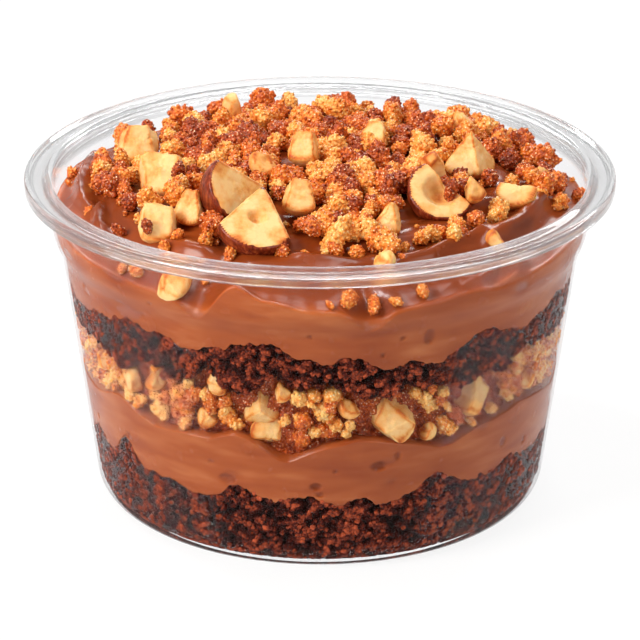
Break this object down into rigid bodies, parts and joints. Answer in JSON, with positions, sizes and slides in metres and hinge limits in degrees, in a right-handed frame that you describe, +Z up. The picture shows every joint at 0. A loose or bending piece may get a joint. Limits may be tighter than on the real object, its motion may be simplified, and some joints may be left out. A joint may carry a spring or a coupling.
{
  "type": "chocolate hazelnut jar cake",
  "caption": "Layered chocolate and hazelnut cake with cream, nut crumble and a crumb and nut topping, in a clear flanged plastic cup.",
  "frame": {"origin": "centre of the cup's foot, on the table", "axes": "+Z up along the cup's axis; the side that faces the viewer in the picture faces -Y"},
  "size_m": [0.117, 0.117, 0.0752],
  "materials": {
    "clear_plastic": "clear, polished",
    "chocolate_sponge": "moist open crumb",
    "chocolate_cream": "smooth, satin",
    "caramel_crumble": "grainy, sugared",
    "hazelnut": "chopped, roasted"
  },
  "bodies": {
    "root": {"cup": "clear_plastic", "lower_sponge": "chocolate_sponge", "lower_cream": "chocolate_cream", "nut_crumble": "caramel_crumble", "upper_sponge": "chocolate_sponge", "upper_cream": "chocolate_cream", "crumble_heap": "caramel_crumble", "hazelnut_half": "hazelnut", "hazelnut_wedge": "hazelnut", "hazelnut_ring": "hazelnut", "nut_chunk_01": "hazelnut", "nut_chunk_02": "hazelnut", "nut_chunk_03": "hazelnut", "nut_chunk_04": "hazelnut", "nut_chunk_05": "hazelnut", "nut_chunk_06": "hazelnut", "nut_chunk_07": "hazelnut", "nut_chunk_08": "hazelnut", "nut_chunk_09": "hazelnut", "filling_nut_01": "hazelnut", "filling_nut_02": "hazelnut", "filling_nut_03": "hazelnut", "filling_nut_04": "hazelnut"}
  },
  "joints": []
}
